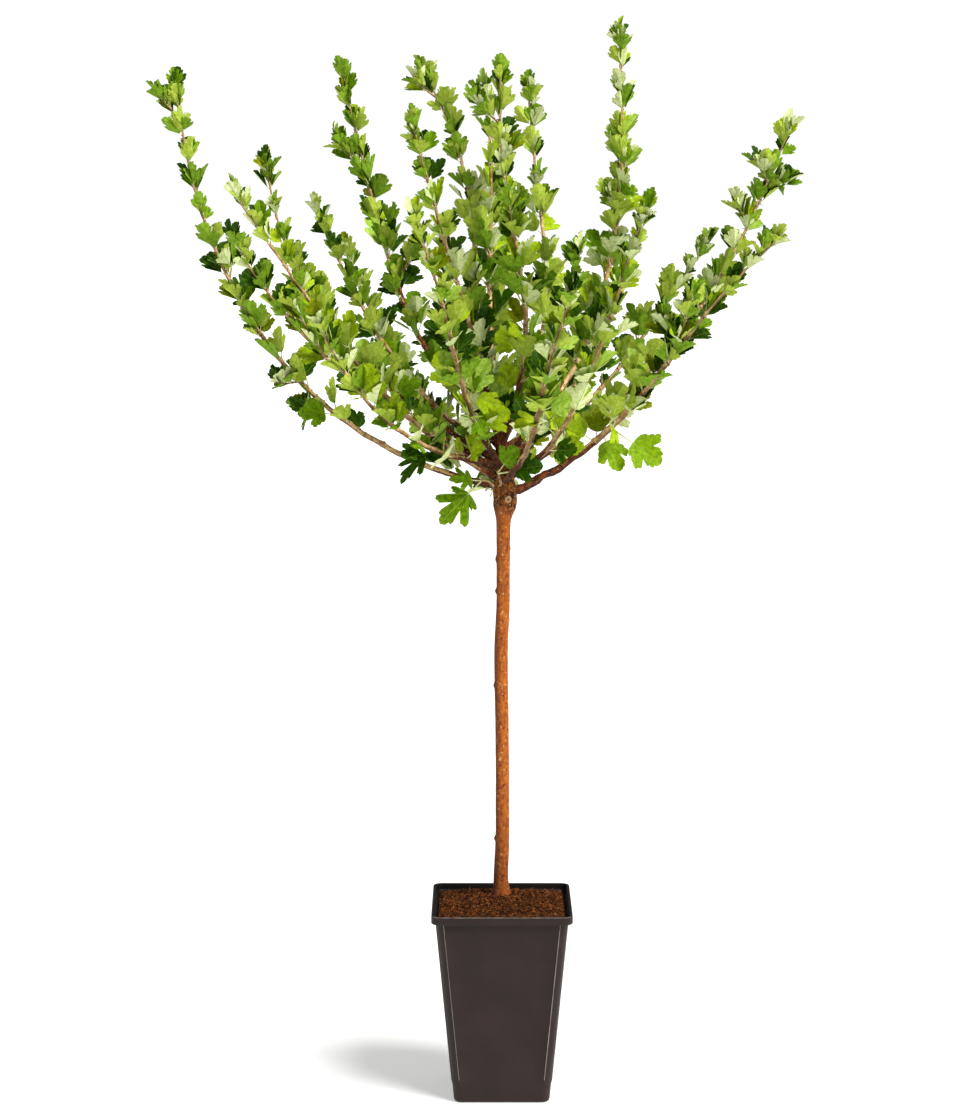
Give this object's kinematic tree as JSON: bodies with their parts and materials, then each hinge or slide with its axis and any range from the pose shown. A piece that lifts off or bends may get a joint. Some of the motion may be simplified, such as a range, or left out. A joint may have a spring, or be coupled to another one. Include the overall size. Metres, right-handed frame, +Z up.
{
  "type": "potted gooseberry bush",
  "caption": "Standard gooseberry bush: a vase-shaped crown of leafy canes on a tall bare stem, in a deep square nursery pot filled with bark compost.",
  "frame": {"origin": "middle of the pot's flat underside, on the ground", "axes": "+Z up along the stem, +X to the right seen from the front, -Y towards the front"},
  "size_m": [0.6954, 0.5462, 1.1583],
  "materials": {
    "pot": "satin black moulded plastic",
    "soil": "loose shredded bark compost",
    "bark": "thin orange-brown bark with pale flecks",
    "foliage": "soft satin green leaves"
  },
  "bodies": {
    "root": {"pot": "pot", "soil": "soil", "stem": "bark", "bough_01": "bark", "bough_02": "bark", "bough_03": "bark", "bough_04": "bark", "bough_05": "bark", "bough_06": "bark", "bough_07": "bark", "bough_08": "bark", "bough_09": "bark", "bough_10": "bark", "bough_11": "bark", "bough_12": "bark", "bough_13": "bark", "bough_14": "bark", "bough_15": "bark", "bough_16": "bark", "bough_17": "bark", "bough_18": "bark", "bough_19": "bark", "bough_20": "bark", "bough_21": "bark", "bough_22": "bark", "bough_23": "bark", "foliage_01": "foliage", "foliage_02": "foliage", "foliage_03": "foliage", "foliage_04": "foliage", "foliage_05": "foliage", "foliage_06": "foliage", "foliage_07": "foliage", "foliage_08": "foliage", "foliage_09": "foliage", "foliage_10": "foliage", "foliage_11": "foliage", "foliage_12": "foliage", "foliage_13": "foliage", "foliage_14": "foliage", "foliage_15": "foliage", "foliage_16": "foliage", "foliage_17": "foliage", "foliage_18": "foliage", "foliage_19": "foliage", "foliage_20": "foliage", "foliage_21": "foliage", "foliage_22": "foliage", "foliage_23": "foliage", "spur_01": "foliage", "spur_02": "foliage", "spur_03": "foliage"}
  },
  "joints": []
}
